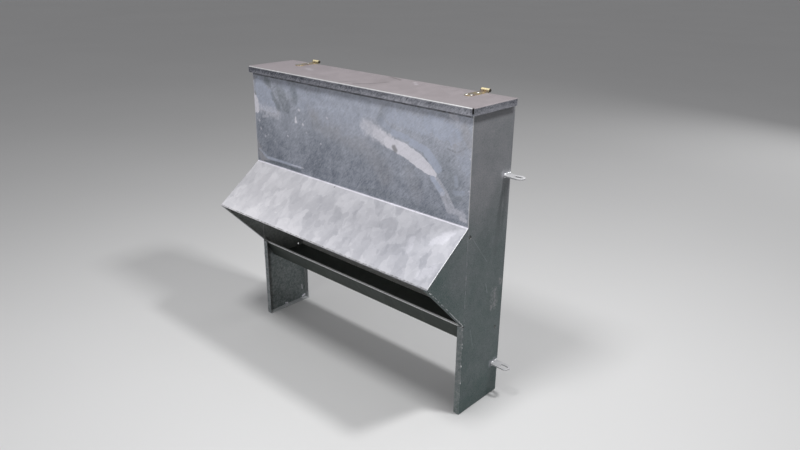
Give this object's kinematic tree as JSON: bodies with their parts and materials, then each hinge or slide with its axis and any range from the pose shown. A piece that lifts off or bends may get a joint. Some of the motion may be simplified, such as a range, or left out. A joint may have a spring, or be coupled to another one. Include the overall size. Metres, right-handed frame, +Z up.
{
  "type": "hopper feeder",
  "caption": "Galvanised sheet-steel hopper feeder with a hinged lid, a sloping hood over a front trough, panel legs and slotted side tabs for fixing along a wall or hurdle.",
  "frame": {"origin": "on the ground, under the middle of the bounding box", "axes": "+Z up, -Y out of the front where the animals feed, +X along the trough to the right as seen by someone facing the feeder's front"},
  "size_m": [1.126, 0.3912, 1.0151],
  "materials": {
    "galvanised_panel": "hot-dip galvanised, dull grey with cloudy spangle",
    "galvanised_lid": "hot-dip galvanised, smooth",
    "zinc_tab": "bright hot-dip zinc",
    "weld_bead": "galvanised weld",
    "yellow_zinc_hinge": "yellow passivated zinc",
    "bright_rivet": "bright zinc",
    "dark_pin": "dark bare steel"
  },
  "bodies": {
    "feeder_body": {"front_panel": "galvanised_panel", "back_panel": "galvanised_panel", "trough": "galvanised_panel", "feed_baffle": "galvanised_panel", "right_side_panel": "galvanised_panel", "left_side_panel": "galvanised_panel", "right_cheek": "galvanised_panel", "left_cheek": "galvanised_panel", "body_rivets": "bright_rivet", "tab_welds": "weld_bead", "cheek_seam_welds": "weld_bead", "baffle_welds": "weld_bead", "trough_welds": "weld_bead", "back_welds": "weld_bead", "left_body_leaf": "yellow_zinc_hinge", "left_hinge_pin": "dark_pin", "right_body_leaf": "yellow_zinc_hinge", "right_hinge_pin": "dark_pin", "lower_right_tab": "zinc_tab", "lower_left_tab": "zinc_tab", "upper_right_tab": "zinc_tab", "upper_left_tab": "zinc_tab"},
    "feeder_lid": {"lid": "galvanised_lid", "lid_rivets": "bright_rivet", "left_lid_leaf": "yellow_zinc_hinge", "right_lid_leaf": "yellow_zinc_hinge"}
  },
  "joints": [
    {"name": "lid_hinge", "type": "hinge", "parent": "feeder_body", "child": "feeder_lid", "pos_m": [0, 0.19001, 1.00955], "axis": [-1, 0, 0], "range_deg": [0, 100]}
  ]
}
